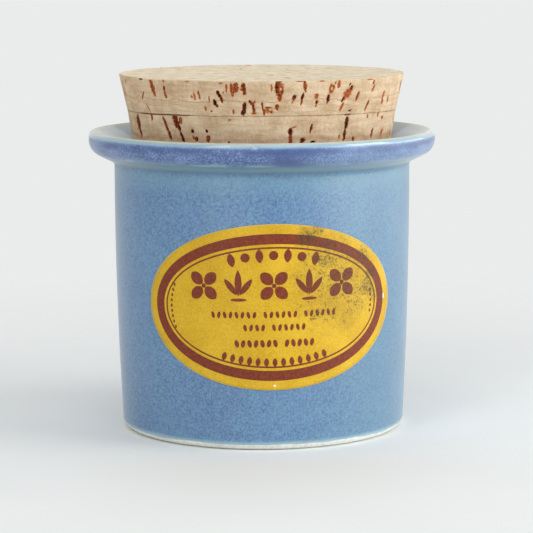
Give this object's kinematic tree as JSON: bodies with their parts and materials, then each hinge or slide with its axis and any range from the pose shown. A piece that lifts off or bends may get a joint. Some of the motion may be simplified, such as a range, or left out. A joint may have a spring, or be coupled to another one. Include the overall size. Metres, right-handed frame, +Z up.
{
  "type": "mustard pot",
  "caption": "Small straight-sided blue glazed stoneware mustard pot with a wide dished rim, an oval paper label and a layered cork stopper.",
  "frame": {"origin": "centre of the foot, on the surface that the pot stands on", "axes": "+Z up along the pot's axis; the label is on the front, which looks along -Y; +X to the right seen from the front"},
  "size_m": [0.0778, 0.0778, 0.08],
  "materials": {
    "glaze": "satin blue glaze, bare white clay at the foot",
    "cork": "natural cork, pitted",
    "paper": "printed paper, slightly glossy, stained"
  },
  "bodies": {
    "root": {"pot": "glaze", "cork_lower": "cork", "cork_upper": "cork", "label": "paper"}
  },
  "joints": []
}
